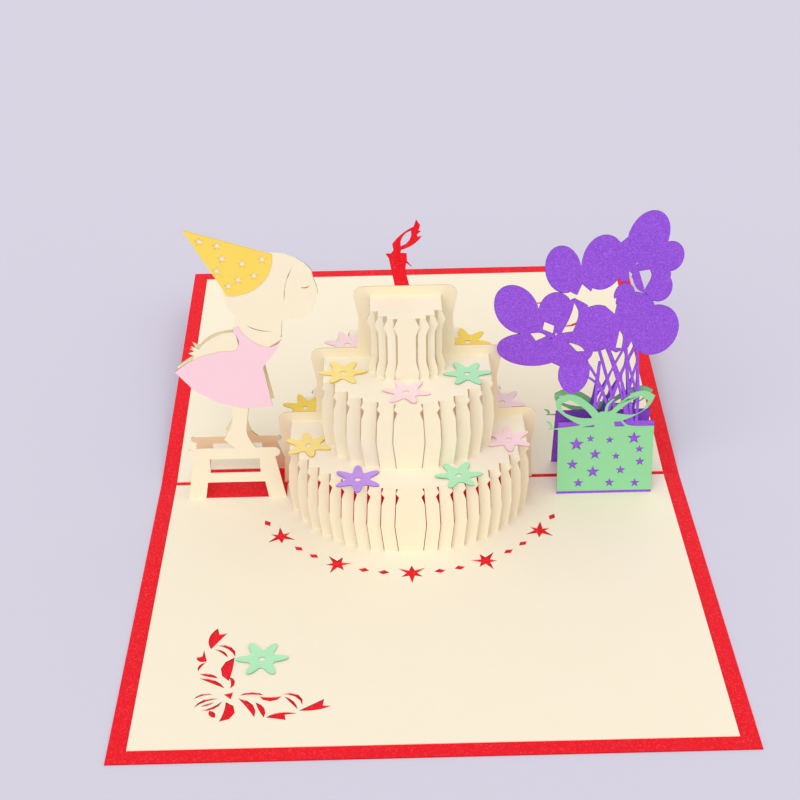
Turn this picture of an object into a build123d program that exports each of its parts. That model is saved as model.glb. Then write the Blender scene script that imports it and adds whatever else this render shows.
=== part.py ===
from build123d import *
import os
from dataclasses import dataclass
from math import cos, radians, sin, sqrt, tan

os.makedirs("parts", exist_ok=True)

# The open card: the front page lies flat on the table and the back page stays up a little
CARD_WIDTH = 200.0
PAGE_DEPTH = 150.0
BACK_RISE = 6.3  # degrees

# Sheets
COVER_SHEET = 0.4
LINER_SHEET = 0.3
TRIM_SHEET = 0.25
SIDE_BORDER = 6.0
EDGE_BORDER = 5.5
FOLD_GAP = 2.2

# Clearances between cut edges
KERF = 0.3
FOOT_CLEAR = 0.06
SLIT_CLEAR = 0.15
CREASE_RIM = 0.1
CREASE_LIP = 0.03

# Cake
CAKE_X = -4.6
RIB_CROWDING = 0.2
PANEL_SHEET = 0.3
PANEL_RISE = 4.0
SHOULDER = 4.0
PANEL_WAIST = 1.6
FLAP_DROP = 6.0
BACK_LEAN_IN = 21.0  # degrees by which the lowest tier of the back half leans to the fold

# Paper flowers
FLOWER_TIP = 8.7
FLOWER_SHOULDER = 6.4
FLOWER_NOTCH = 4.3
FLOWER_EYE = 1.1
PETALS = 6
PETAL_SPREAD = 12.0  # degrees from a petal's middle to its shoulder

# Garland cut out of the front page, on a circle round the cake
GARLAND_RADIUS = 59.5
GARLAND_STEP = 26.4  # degrees from burst to burst
DIAMOND_STEP = 9.7  # degrees from a burst to its diamonds
BURST_RAYS = 6
BURST_TIP = 5.8
BURST_SHORT_TIP = 4.3
BURST_CORE = 1.9
DIAMOND_LENGTH = 4.2
DIAMOND_WIDTH = 2.6

# Child on a stool, and gift box with balloons: sheets that lean together over the fold
FIGURE_X = -69.7
FIGURE_BASE = 10.5
FIGURE_KNEE = 114.0
FIGURE_BACK_BASE = 8.7
FIGURE_BACK_KNEE = 24.5
GIFT_X = 69.3
GIFT_BASE = 12.5
GIFT_KNEE = 52.0
GIFT_BACK_BASE = 8.4
GIFT_BACK_KNEE = 46.0
GIFT_AHEAD = 2.5

# Stool
SEAT_LENGTH = 34.4
SEAT_THICK = 3.8
SEAT_TOP = 22.0
LEG_SPREAD_FOOT = 18.65
LEG_SPREAD_TOP = 14.9
LEG_FOOT_WIDTH = 6.6
STRETCHER_LOW = 7.2
STRETCHER_HIGH = 11.3
UPPER_GAP_HALF = 9.4
UPPER_GAP_TOP = 17.4

# Gift box
BOX_HALF = 17.9
BOX_HEIGHT = 29.6
WRAP_LOW = 1.0
WRAP_HIGH = 27.6
STRING_WIDTH = 1.1
OVAL_SIDES = 16
WEB_SIDES = 8
CURL_SIDES = 4

# Ribbon bow ornament cut out of the front page, by the place of its knot
BOW_X = -64.4
BOW_DEPTH = PAGE_DEPTH - 29.2
PAGE_FLOWER_X = -54.9
PAGE_FLOWER_DEPTH = PAGE_DEPTH - 46.1
CURL_X = 58.0
CURL_DEPTH = PAGE_DEPTH - 42.0

# The page top and the plane that halves the angle between the pages
PAGE_TOP = COVER_SHEET + LINER_SHEET
LEAN = BACK_RISE / 2
ACROSS = Vector(1, 0, 0)
UP = Vector(0, -sin(radians(LEAN)), cos(radians(LEAN)))
FACING = Vector(0, -cos(radians(LEAN)), -sin(radians(LEAN)))
FOLD = Vector(0, -PAGE_TOP * tan(radians(LEAN)), PAGE_TOP)
CENTRE = Plane(origin=FOLD, x_dir=ACROSS, z_dir=FACING)
FOOT_BITE = LINER_SHEET - FOOT_CLEAR
PANEL_FACE = PANEL_SHEET / 2 / cos(radians(LEAN))
RIB_RIM = LINER_SHEET + CREASE_RIM


@dataclass(frozen=True)
class Tier:
    """One tier of a half cake: ribs that rise from the sheet below and a top that goes back to the panel."""

    height: float
    depth: float
    half_width: float
    centre_half: float
    panel_half: float
    ribs: int
    edge: tuple
    back_edge: tuple

    def slit(self, rib: int) -> float:
        """Distance of a rib's outer slit from the middle of the cake."""
        share = rib / self.ribs
        crowded = share + RIB_CROWDING * share * (1 - share)
        return self.centre_half + (self.half_width - self.centre_half) * crowded

    def front(self, rib: int) -> float:
        """Distance of a rib's face from the fold, on a rounded plan."""
        if rib == 0:
            return self.depth
        return self.depth * sqrt(1 - (self.slit(rib - 1) / (self.half_width + KERF)) ** 2)


# A rib's cut edge from foot to top: share of the height and swell past the slit line
BALUSTER = ((0.0, 0.0), (0.4, 1.15), (0.74, 0.7), (0.86, -0.4), (0.92, 0.7), (1.0, -0.1))
BALUSTER_BACK = ((0.0, 0.0), (0.4, 1.15), (1.0, 0.3))
BONE = ((0.0, 0.9), (0.12, 1.1), (0.3, 0.0), (0.72, 0.0), (0.86, 1.3), (1.0, -0.1))
BONE_BACK = ((0.0, 1.1), (0.3, 0.3), (0.72, 0.4), (1.0, 1.2))

TIERS = (
    Tier(28.5, 46.7, 43.4, 4.35, 48.5, 9, BALUSTER, BALUSTER_BACK),
    Tier(28.0, 34.3, 30.0, 4.4, 34.9, 5, BALUSTER, BALUSTER_BACK),
    Tier(25.5, 18.0, 12.6, 3.2, 18.6, 3, BONE, BONE_BACK),
)


def tier_top(index: int, lean_in: float = 0.0) -> float:
    """Height of a tier's top above the page, along the centre plane."""
    lost = TIERS[0].height * (1 - cos(radians(lean_in)) - sin(radians(lean_in)) * tan(radians(LEAN)))
    return sum(tier.height for tier in TIERS[: index + 1]) - lost


def setback(lean_in: float) -> float:
    """How far a lowest tier that leans in brings the tiers above it nearer to the fold."""
    return TIERS[0].height * sin(radians(lean_in)) / cos(radians(LEAN))


def upright(distance: float, height: float, x: float, lean_in: float = 0.0) -> Plane:
    """Plane of a rib seen from the front, its origin on the sheet below."""
    along = UP * cos(radians(lean_in)) - FACING * sin(radians(lean_in))
    return Plane(origin=FOLD + UP * height + Vector(x, -distance, 0), x_dir=ACROSS, z_dir=ACROSS.cross(along))


def level(height: float, x: float = 0.0) -> Plane:
    """Plane parallel to the front page at a height along the centre plane."""
    return Plane(origin=FOLD + UP * height + Vector(x, 0, 0), x_dir=ACROSS, z_dir=(0, 0, 1))


@dataclass(frozen=True)
class Stance:
    """How an upright sheet stands: it leans in from its foot and runs up along the centre plane above its knee."""

    x: float
    base: float
    knee: float
    ahead: float = 0.0

    @property
    def face(self) -> Vector:
        """From the centre plane to the sheet's face above its knee."""
        return FACING * (self.ahead + LINER_SHEET)

    @property
    def rise(self) -> Vector:
        """From the sheet's foot to its knee."""
        return UP * self.knee + self.face + Vector(0, self.base, 0)

    @property
    def lower(self) -> Plane:
        """Plane of the part below the knee, its origin at the foot."""
        return Plane(origin=FOLD + Vector(self.x, -self.base, 0), x_dir=ACROSS, z_dir=ACROSS.cross(self.rise))

    @property
    def upper(self) -> Plane:
        """Plane of the part above the knee, with heights counted along the sheet from its foot."""
        drop = self.knee - self.rise.length
        return Plane(origin=FOLD + UP * drop + self.face + Vector(self.x, 0, 0), x_dir=ACROSS, z_dir=FACING)


FIGURE = {
    "front": Stance(FIGURE_X, FIGURE_BASE, FIGURE_KNEE),
    "back": Stance(FIGURE_X, FIGURE_BACK_BASE, FIGURE_BACK_KNEE),
}
GIFT = {
    "front": Stance(GIFT_X, GIFT_BASE, GIFT_KNEE, GIFT_AHEAD),
    "back": Stance(GIFT_X, GIFT_BACK_BASE, GIFT_BACK_KNEE, -GIFT_AHEAD),
}
LEAN_IN = {"front": 0.0, "back": BACK_LEAN_IN}


def bent_sheet(outline: Sketch, stance: Stance, thickness: float) -> Part:
    """Sheet of a given outline that is creased at its knee."""
    above = 2 * CARD_WIDTH
    with BuildPart() as sheet:
        with BuildSketch(stance.lower):
            add(outline)
            with Locations((0, stance.rise.length)):
                Rectangle(above, above, align=(Align.CENTER, Align.MIN), mode=Mode.SUBTRACT)
        with BuildSketch(stance.upper):
            add(outline)
            with Locations((0, stance.rise.length - LINER_SHEET / 2)):
                Rectangle(above, above, align=(Align.CENTER, Align.MAX), mode=Mode.SUBTRACT)
        extrude(amount=thickness)
    return sheet.part


def polar(radius: float, angle: float) -> tuple:
    """Point at a radius and an angle in degrees."""
    return (radius * cos(radians(angle)), radius * sin(radians(angle)))


def star(tip: float) -> Sketch:
    """Five-pointed star with one point up."""
    core = tip * 0.42
    points = [polar(tip if step % 2 == 0 else core, 90 + 36 * step) for step in range(10)]
    with BuildSketch() as outline:
        Polygon(*points, align=None)
    return outline.sketch


def burst() -> Sketch:
    """Thin burst with long and short rays in turn."""
    tips = (BURST_TIP, BURST_CORE, BURST_SHORT_TIP, BURST_CORE)
    corners = 2 * BURST_RAYS
    with BuildSketch() as outline:
        Polygon(*[polar(tips[step % 4], 360 / corners * step) for step in range(corners)], align=None)
    return outline.sketch


def diamond() -> Sketch:
    """Small diamond that lies along the garland."""
    half_length, half_width = DIAMOND_LENGTH / 2, DIAMOND_WIDTH / 2
    with BuildSketch() as outline:
        Polygon((half_length, 0), (0, half_width), (-half_length, 0), (0, -half_width), align=None)
    return outline.sketch


def flower() -> Sketch:
    """Six-petalled paper flower with a round eye."""
    turn = 360 / PETALS
    points = []
    for petal in range(PETALS):
        middle = petal * turn
        points.append(polar(FLOWER_SHOULDER, middle - PETAL_SPREAD))
        points.append(polar(FLOWER_TIP, middle))
        points.append(polar(FLOWER_SHOULDER, middle + PETAL_SPREAD))
        points.append(polar(FLOWER_NOTCH, middle + turn / 2))
    with BuildSketch() as outline:
        Polygon(*points, align=None)
        RegularPolygon(FLOWER_EYE, 4, mode=Mode.SUBTRACT)
    return outline.sketch


def crescent(start: tuple, end: tuple, outer: float, inner: float) -> Sketch:
    """Curl between two points, bounded by two arcs given by their heights over the chord."""
    outer_arc, inner_arc = SagittaArc(start, end, outer), SagittaArc(start, end, inner)
    steps = range(1, CURL_SIDES)
    outer_points = [outer_arc @ (step / CURL_SIDES) for step in steps]
    inner_points = [inner_arc @ (step / CURL_SIDES) for step in steps]
    with BuildSketch() as outline:
        Polygon(start, *outer_points, end, *reversed(inner_points), align=None)
    return outline.sketch


def bend(start: tuple, middle: tuple, end: tuple) -> list:
    """Points along an arc through three points, its end left out."""
    arc = ThreePointArc(start, middle, end)
    return [arc @ (step / CURL_SIDES) for step in range(CURL_SIDES)]


def swallowtail(root: tuple, tip: tuple, notch: tuple, other_tip: tuple, swell: float) -> Sketch:
    """Ribbon end that widens from its root to two points with a notch between them."""
    with BuildSketch() as outline:
        with BuildLine():
            SagittaArc(root, tip, swell)
            Polyline(tip, notch, other_tip)
            Line(other_tip, root)
        make_face()
    return outline.sketch


def loop(sides: int, *points: tuple) -> Sketch:
    """Closed outline of short sides along the smooth curve through the given points."""
    curve = Spline(*points, periodic=True)
    with BuildSketch() as outline:
        Polygon(*[curve @ (side / sides) for side in range(sides)], align=None)
    return outline.sketch


def oval(half_width: float, half_height: float, sides: int) -> Sketch:
    """Balloon outline."""
    turns = [360 * side / sides for side in range(sides)]
    with BuildSketch() as outline:
        Polygon(*[(half_width * cos(radians(t)), half_height * sin(radians(t))) for t in turns], align=None)
    return outline.sketch


def strand(points: tuple) -> Sketch:
    """Narrow upright strip along a bent line."""
    half = STRING_WIDTH / 2
    left = [(across - half, up) for across, up in points]
    right = [(across + half, up) for across, up in reversed(points)]
    with BuildSketch() as outline:
        Polygon(*left, *right, align=None)
    return outline.sketch


def garland() -> Sketch:
    """Bursts on a circle round the cake, each with a diamond on both sides."""
    with BuildSketch() as cuts:
        for step in range(-2, 3):
            middle = -90 + step * GARLAND_STEP
            with Locations(Location(polar(GARLAND_RADIUS, middle), middle)):
                add(burst())
            for angle in (middle - DIAMOND_STEP, middle + DIAMOND_STEP):
                with Locations(Location(polar(GARLAND_RADIUS, angle), angle + 90)):
                    add(diamond())
    return cuts.sketch


# Curls of the ribbon bow from its knot: start, end and the heights of the two arcs
RIBBON_CURLS = (
    ((-6.2, 24.6), (0.6, 18.5), 2.6, 1.2),
    ((-6.7, 22.7), (-1.8, 18.2), 1.3, 0.3),
    ((0.4, 18.2), (-0.6, 6.8), -3.6, 0.3),
    ((-0.9, 9.0), (0.1, 3.2), 1.9, 0.5),
    ((-8.6, 16.2), (-11.0, 11.8), -1.3, -0.3),
    ((-10.6, 10.5), (-4.2, 8.3), 1.2, -0.4),
    ((-10.4, 8.5), (-1.7, 3.4), 1.6, -0.1),
    ((-11.2, -1.5), (-5.0, 0.4), 1.6, 0.7),
    ((-10.7, -5.4), (-2.7, -1.5), 2.0, 0.9),
    ((-8.6, -4.9), (-4.3, -3.0), 0.3, -0.6),
    ((-8.4, -6.7), (-2.0, -2.8), -1.7, -0.6),
    ((-5.6, -6.8), (-3.7, -10.2), 0.9, -1.1),
    ((-0.8, -3.1), (-2.2, -12.0), 4.0, 0.4),
    ((3.3, -0.2), (11.2, -0.4), 1.7, 0.4),
    ((9.6, -0.7), (17.0, -0.8), -2.5, -0.4),
    ((16.6, -0.1), (23.6, -5.3), 3.0, 1.7),
    ((17.7, -1.1), (22.2, -7.2), 1.0, -0.1),
    ((3.0, -1.5), (8.7, -10.4), 2.4, 0.2),
    ((8.7, -3.6), (11.7, -10.6), 1.6, -0.3),
)
RIBBON_TAILS = (
    ((-7.7, 22.7), (-6.3, 33.3), (-5.6, 30.3), (-2.9, 30.8), 1.9),
    ((-8.6, 16.8), (-12.1, 18.7), (-10.2, 19.4), (-10.0, 22.2), 1.3),
    ((12.4, -10.6), (22.1, -9.1), (18.2, -9.6), (18.6, -11.9), 1.6),
    ((22.6, -7.8), (33.0, -5.9), (30.1, -5.5), (30.4, -2.7), -0.9),
)


def ribbon_bow() -> Sketch:
    """Ribbon bow with streamers, as cut-outs round its knot."""
    with BuildSketch() as cuts:
        Polygon((-1.8, 0.5), (1.2, 1.5), (0.7, -1.9), align=None)
        for start, end, outer, inner in RIBBON_CURLS:
            add(crescent(start, end, outer, inner))
        for root, tip, notch, other_tip, swell in RIBBON_TAILS:
            add(swallowtail(root, tip, notch, other_tip, swell))
    return cuts.sketch


# Plain scrolls on the back page: start, end and the heights of the two arcs
BACK_SCROLLS = (
    ((-18.0, 0.0), (-2.0, 6.0), 5.0, 3.6),
    ((-2.2, 4.6), (-6.0, -2.0), 3.2, 1.9),
    ((18.0, 0.0), (2.0, 6.0), -5.0, -3.6),
    ((2.2, 4.6), (6.0, -2.0), -3.2, -1.9),
    ((-9.0, -8.0), (9.0, -8.0), -4.0, -2.6),
)


def front_cuts() -> Sketch:
    """Everything cut out of the front page for show."""
    with BuildSketch() as cuts:
        with Locations((CAKE_X, 0)):
            add(garland())
        with Locations((BOW_X, -BOW_DEPTH)):
            add(ribbon_bow())
    return cuts.sketch


def back_cuts() -> Sketch:
    """Everything cut out of the back page for show."""
    with BuildSketch() as cuts:
        with Locations((CURL_X, -CURL_DEPTH)):
            for start, end, outer, inner in BACK_SCROLLS:
                add(crescent(start, end, outer, inner))
    return cuts.sketch


def tier_plan(tier: Tier, inset: float, rear: float = 0.0, nearer: float = 0.0) -> Sketch:
    """Stepped plan of a tier from the panel to just behind the faces of its ribs."""
    with BuildSketch() as plan:
        for rib in range(tier.ribs + 1):
            with Locations((0, -rear)):
                depth = tier.front(rib) - nearer - inset - rear
                Rectangle(2 * tier.slit(rib), depth, align=(Align.CENTER, Align.MAX))
    return plan.sketch


def edge_points(tier: Tier, slit: float, shape: tuple, side: int) -> list:
    """Points of a rib's cut edge, its foot sunk into the sheet below and its top into the tier's own top."""
    points = [(side * (slit + swell), share * tier.height) for share, swell in shape]
    points[0] = (points[0][0], -LINER_SHEET / 2)
    points[-1] = (points[-1][0], tier.height - LINER_SHEET / 2)
    return points


def rib_outline(tier: Tier, rib: int, side: int) -> Sketch:
    """Outline of one rib seen from the front."""
    outer = edge_points(tier, tier.slit(rib), tier.edge, side)
    if rib == 0:
        inner = edge_points(tier, tier.slit(rib), tier.edge, -side)
    else:
        inner = edge_points(tier, tier.slit(rib - 1) + KERF, tier.back_edge, side)
    with BuildSketch() as outline:
        Polygon(*outer, *reversed(inner), align=None)
    return outline.sketch


def stool() -> Sketch:
    """Stool front: seat, two splayed legs and a stretcher."""
    gap_foot = LEG_SPREAD_FOOT - LEG_FOOT_WIDTH
    splay = (LEG_SPREAD_FOOT - LEG_SPREAD_TOP) / SEAT_TOP
    gap_head = gap_foot - splay * STRETCHER_LOW
    seat_middle = SEAT_TOP - SEAT_THICK / 2
    with BuildSketch() as outline:
        Polygon(
            (-LEG_SPREAD_FOOT, -FOOT_BITE), (LEG_SPREAD_FOOT, -FOOT_BITE),
            (LEG_SPREAD_TOP, seat_middle), (-LEG_SPREAD_TOP, seat_middle), align=None,
        )
        Polygon(
            (-gap_foot, -LINER_SHEET), (gap_foot, -LINER_SHEET),
            (gap_head, STRETCHER_LOW), (-gap_head, STRETCHER_LOW), align=None, mode=Mode.SUBTRACT,
        )
        with Locations((0, STRETCHER_HIGH)):
            Rectangle(
                2 * UPPER_GAP_HALF, UPPER_GAP_TOP - STRETCHER_HIGH,
                align=(Align.CENTER, Align.MIN), mode=Mode.SUBTRACT,
            )
        with Locations((0, seat_middle)):
            SlotOverall(SEAT_LENGTH, SEAT_THICK)
    return outline.sketch


def dress() -> Sketch:
    """Dress with a low neckline, an armhole and a wide skirt."""
    skirt_tip, waist_back, shoulder_low = (-19.1, 54.9), (3.4, 63.0), (2.7, 70.6)
    shoulder, neck_low, strap = (4.9, 72.7), (14.7, 64.1), (20.3, 67.2)
    hem = (15.6, 39.8)
    with BuildSketch() as outline:
        back_edge = bend(skirt_tip, (-9.5, 60.8), waist_back)
        armhole = bend(waist_back, (5.0, 66.6), shoulder_low)
        neckline = bend(shoulder, (9.2, 67.0), neck_low)
        bib = bend(neck_low, (18.0, 64.9), strap)
        hem_edge = bend(hem, (-4.2, 41.7), skirt_tip)
        Polygon(
            *back_edge, *armhole, shoulder_low, *neckline, *bib, strap,
            (18.0, 62.6), (13.0, 56.2), *hem_edge, align=None,
        )
    return outline.sketch


def hat_cone() -> Sketch:
    """Party hat seen from the side, with a curved brim."""
    tip, brim_front, brim_back = (-11.7, 110.3), (18.7, 100.5), (2.0, 84.9)
    with BuildSketch() as outline:
        with BuildLine():
            Line(tip, brim_front)
            ThreePointArc(brim_front, (14.2, 89.2), brim_back)
            Line(brim_back, tip)
        make_face()
    return outline.sketch


HAT_STAR = 1.7
HAT_STARS = (
    (-6.2, 105.8), (-0.1, 104.1), (1.3, 99.2), (8.1, 97.1),
    (15.2, 98.5), (-0.9, 94.5), (6.3, 91.0), (12.0, 92.4), (2.7, 88.6),
)


def hat() -> Sketch:
    """Party hat with small stars cut out of it."""
    with BuildSketch() as outline:
        add(hat_cone())
        with Locations(*HAT_STARS):
            add(star(HAT_STAR), mode=Mode.SUBTRACT)
    return outline.sketch


def child() -> Sketch:
    """Child in profile on tiptoe: leg, dress backing, arm swept back, plain round head and hat backing."""
    heel, ball, toe = (-3.4, 25.8), (3.0, SEAT_TOP - SEAT_THICK / 2), (10.6, SEAT_TOP - SEAT_THICK / 2)
    with BuildSketch() as outline:
        with BuildLine():
            ThreePointArc((0.8, 41.0), (0.2, 34.0), (-1.2, 29.8))
            Polyline((-1.2, 29.8), heel, ball, toe)
            ThreePointArc(toe, (6.4, 25.2), (5.2, 30.2))
            Polyline((5.2, 30.2), (6.8, 41.0), (0.8, 41.0))
        make_face()
        with BuildLine():
            ThreePointArc((4.0, 70.2), (-3.2, 69.0), (-9.8, 63.8))
            Polyline((-9.8, 63.8), (-12.4, 65.2), (-11.5, 63.0), (-13.5, 62.2), (-11.6, 61.2), (-12.4, 59.4))
            ThreePointArc((-12.4, 59.4), (-4.0, 61.4), (5.0, 62.4))
            Line((5.0, 62.4), (4.0, 70.2))
        make_face()
        Polygon((2.9, 70.4), (5.0, 77.0), (21.0, 77.0), (20.0, 67.0), (14.7, 63.6), (9.0, 66.0), align=None)
        add(loop(
            28, (5.0, 76.0), (0.8, 83.0), (2.0, 92.0), (9.0, 99.0), (19.0, 101.0), (28.5, 98.0), (32.8, 91.5),
            (33.0, 88.4), (35.0, 86.0), (33.4, 84.2), (33.0, 80.2), (29.0, 76.2), (20.0, 74.6), (12.0, 73.8),
        ))
        add(crescent((28.0, 87.6), (31.4, 88.2), -0.9, -0.4), mode=Mode.SUBTRACT)
        add(crescent((25.5, 95.5), (22.0, 82.0), -1.0, -0.6), mode=Mode.SUBTRACT)
        add(crescent((8.0, 73.0), (17.5, 70.5), -1.1, -0.7), mode=Mode.SUBTRACT)
        add(dress())
        add(hat_cone())
    return outline.sketch


# Balloons on the gift's sheet: middle across, middle up, half width, half height and turn
BALLOONS = (
    (10.9, 105.2, 7.2, 10.4, -14), (19.2, 97.3, 4.8, 5.9, 0), (16.1, 84.9, 4.8, 5.8, 0), (-4.4, 95.4, 7.6, 11.0, -4),
    (-18.3, 92.9, 6.4, 9.6, 11), (-34.3, 77.0, 7.6, 10.6, 26), (-29.3, 59.8, 12.0, 6.8, -8),
    (-5.2, 68.3, 7.8, 9.8, 0), (-20.3, 75.9, 6.2, 7.8, 0), (-12.5, 49.6, 5.8, 8.5, -6),
    (15.8, 67.1, 8.8, 10.6, -9), (8.2, 75.1, 7.2, 7.9, 0), (-14.6, 59.6, 9.0, 7.5, 0),
)
# Card left between the balloons: middle across, middle up, half width and half height
BALLOON_WEBS = (
    (-11.6, 88.0, 5.0, 6.0), (3.6, 96.0, 4.0, 9.0), (4.0, 82.0, 4.0, 5.0), (13.0, 90.0, 7.0, 8.0),
    (-26.3, 70.0, 8.0, 7.0), (-13.8, 71.0, 7.0, 10.0), (2.6, 65.0, 6.0, 7.0),
)
# Small gaps cut between the balloons
BALLOON_GAPS = (
    ((8.4, 91.8), (12.2, 92.4), (13.4, 89.5), (11.0, 83.8)),
    ((4.8, 92.0), (6.2, 90.8), (5.6, 86.2)),
    ((-11.3, 87.0), (-5.6, 81.7), (-5.2, 78.8), (-12.9, 82.5)),
    ((1.2, 81.4), (0.8, 74.2), (-2.6, 77.4)),
    ((-24.1, 71.8), (-20.5, 70.0), (-20.9, 66.4), (-24.7, 68.2)),
    ((-29.3, 67.0), (-25.2, 67.4), (-22.9, 65.4), (-26.9, 63.4)),
    ((-13.7, 79.4), (-11.5, 74.8), (-13.7, 67.0), (-17.9, 66.4), (-14.6, 74.1)),
    ((-15.6, 63.0), (-10.4, 61.2), (-8.7, 58.4), (-11.8, 58.4)),
    ((3.2, 67.4), (4.8, 64.9), (4.4, 59.4), (2.2, 59.6)),
)
STRINGS = (
    ((-5.5, 28.0), (-4.3, 38.1), (-3.2, 54.0)),
    ((-1.0, 28.0), (2.2, 41.4), (9.0, 60.0)),
    ((4.5, 28.0), (1.4, 41.5), (-4.0, 60.0)),
    ((8.6, 28.0), (5.8, 43.9), (-1.4, 62.0)),
    ((9.8, 28.0), (8.0, 41.3), (5.3, 66.0)),
    ((11.1, 28.0), (11.6, 39.4), (10.0, 62.0)),
)


def balloons() -> Sketch:
    """Gift box wall, strings and a cluster of balloons in one sheet."""
    with BuildSketch() as outline:
        with Locations((0, -FOOT_BITE)):
            Rectangle(2 * BOX_HALF, BOX_HEIGHT + FOOT_BITE, align=(Align.CENTER, Align.MIN))
        for points in STRINGS:
            add(strand(points))
        for across, up, half_width, half_height in BALLOON_WEBS:
            with Locations((across, up)):
                add(oval(half_width, half_height, WEB_SIDES))
        for across, up, half_width, half_height, turn in BALLOONS:
            with Locations(Location((across, up), turn)):
                add(oval(half_width, half_height, OVAL_SIDES))
        for points in BALLOON_GAPS:
            Polygon(*points, align=None, mode=Mode.SUBTRACT)
    return outline.sketch


# Stars cut out of the gift wrap: place across and up, and radius
WRAP_STARS = (
    (-10.9, 20.6, 2.9), (-5.7, 22.8, 1.6), (1.5, 22.1, 1.6), (10.6, 22.7, 2.7), (12.8, 18.1, 1.7),
    (-3.8, 16.3, 2.3), (4.1, 15.3, 1.6), (13.2, 12.9, 1.9), (-12.2, 12.2, 2.3), (-4.4, 9.0, 2.6),
    (6.0, 9.5, 1.9), (-9.8, 4.4, 2.0), (2.0, 4.3, 1.9), (11.6, 4.0, 1.9),
)


def gift_wrap() -> Sketch:
    """Gift wrap with star cut-outs, and a bow with two loops and two tails on top."""
    with BuildSketch() as outline:
        add(loop(11, (-2.0, 32.0), (-9.6, 39.7), (-15.0, 41.4), (-19.6, 37.3), (-14.6, 31.5), (-4.0, 28.7)))
        add(
            loop(8, (-5.1, 31.2), (-11.6, 37.6), (-16.1, 38.4), (-17.5, 36.6), (-12.1, 31.9)),
            mode=Mode.SUBTRACT,
        )
        add(loop(11, (1.0, 33.4), (8.0, 40.1), (14.0, 42.3), (17.7, 39.9), (14.9, 34.7), (6.5, 30.1), (1.5, 29.6)))
        add(
            loop(8, (3.4, 33.1), (10.5, 38.8), (14.4, 39.6), (15.2, 37.6), (8.5, 32.1)),
            mode=Mode.SUBTRACT,
        )
        Polygon((-4.5, WRAP_HIGH), (-3.9, 32.2), (-2.3, 33.8), (1.8, 33.7), (3.3, WRAP_HIGH), align=None)
        add(crescent((-4.0, 29.3), (-21.4, 27.1), 1.3, 0.2))
        add(crescent((-20.8, 26.7), (-22.4, 30.1), -1.6, -0.6))
        Polygon((2.4, 33.3), (3.6, 32.3), (9.0, 26.9), (7.4, 27.1), align=None)
        add(strand(((-0.3, 32.9), (0.0, 36.3), (2.4, 38.9))))
        with Locations((0, WRAP_LOW)):
            Rectangle(2 * BOX_HALF, WRAP_HIGH - WRAP_LOW, align=(Align.CENTER, Align.MIN))
        for across, up, radius in WRAP_STARS:
            with Locations((across, up)):
                add(star(radius), mode=Mode.SUBTRACT)
    return outline.sketch


def page_outline(cuts: Sketch, figure_base: float, gift_base: float) -> Sketch:
    """One page of a liner, open where the cake, the stool and the gift box rise from it."""
    half_sheet = LINER_SHEET / 2
    slit_depth = LINER_SHEET + 2 * SLIT_CLEAR
    with BuildSketch() as outline:
        with Locations((0, -FOLD_GAP / 2)):
            Rectangle(
                CARD_WIDTH - 2 * SIDE_BORDER, PAGE_DEPTH - EDGE_BORDER - FOLD_GAP / 2,
                align=(Align.CENTER, Align.MAX),
            )
        with Locations((CAKE_X, 0)):
            add(tier_plan(TIERS[0], RIB_RIM), mode=Mode.SUBTRACT)
        with Locations((FIGURE_X, 0)):
            Rectangle(
                2 * LEG_SPREAD_FOOT, figure_base - RIB_RIM,
                align=(Align.CENTER, Align.MAX), mode=Mode.SUBTRACT,
            )
        with Locations((GIFT_X, half_sheet - gift_base)):
            Rectangle(2 * (BOX_HALF + SLIT_CLEAR), slit_depth, mode=Mode.SUBTRACT)
        add(cuts, mode=Mode.SUBTRACT)
    return outline.sketch


def half_liner(page: str, cuts: Sketch) -> Part:
    """A liner in the front page's frame: the page and all that is folded up from the same sheet."""
    lean_in = LEAN_IN[page]
    nearer = setback(lean_in)
    with BuildSketch() as figure:
        add(stool())
        add(child())
    with BuildPart() as half:
        with BuildSketch(Plane(origin=(0, FOLD.Y, COVER_SHEET))):
            add(page_outline(cuts, FIGURE[page].base, GIFT[page].base))
        extrude(amount=LINER_SHEET)

        for index, tier in enumerate(TIERS):
            base = tier_top(index - 1, lean_in) if index else 0.0
            for rib in range(tier.ribs + 1):
                distance = tier.front(rib) - nearer if index else tier.front(rib)
                plane = upright(distance, base, CAKE_X, 0.0 if index else lean_in)
                sides = (1,) if rib == 0 else (1, -1)
                for side in sides:
                    with BuildSketch(plane):
                        add(rib_outline(tier, rib, side))
        extrude(amount=-LINER_SHEET)

        for index, tier in enumerate(TIERS):
            with BuildSketch(level(tier_top(index, lean_in), CAKE_X)):
                add(tier_plan(tier, -CREASE_LIP, PANEL_FACE, nearer))
                if index + 1 < len(TIERS):
                    add(tier_plan(TIERS[index + 1], RIB_RIM, 0.0, nearer), mode=Mode.SUBTRACT)
        extrude(amount=-LINER_SHEET)

        for index, tier in enumerate(TIERS):
            next_half = TIERS[index + 1].half_width + KERF if index + 1 < len(TIERS) else 0.0
            flap_width = tier.half_width - KERF - next_half
            with BuildSketch(CENTRE.offset(PANEL_SHEET / 2)):
                for side in (1, -1):
                    middle = CAKE_X + side * (next_half + flap_width / 2)
                    with Locations((middle, tier_top(index, lean_in) - LINER_SHEET / 2)):
                        Rectangle(flap_width, FLAP_DROP, align=(Align.CENTER, Align.MAX))
        extrude(amount=LINER_SHEET)

        add(bent_sheet(figure.sketch, FIGURE[page], -LINER_SHEET))
    return half.part


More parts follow.
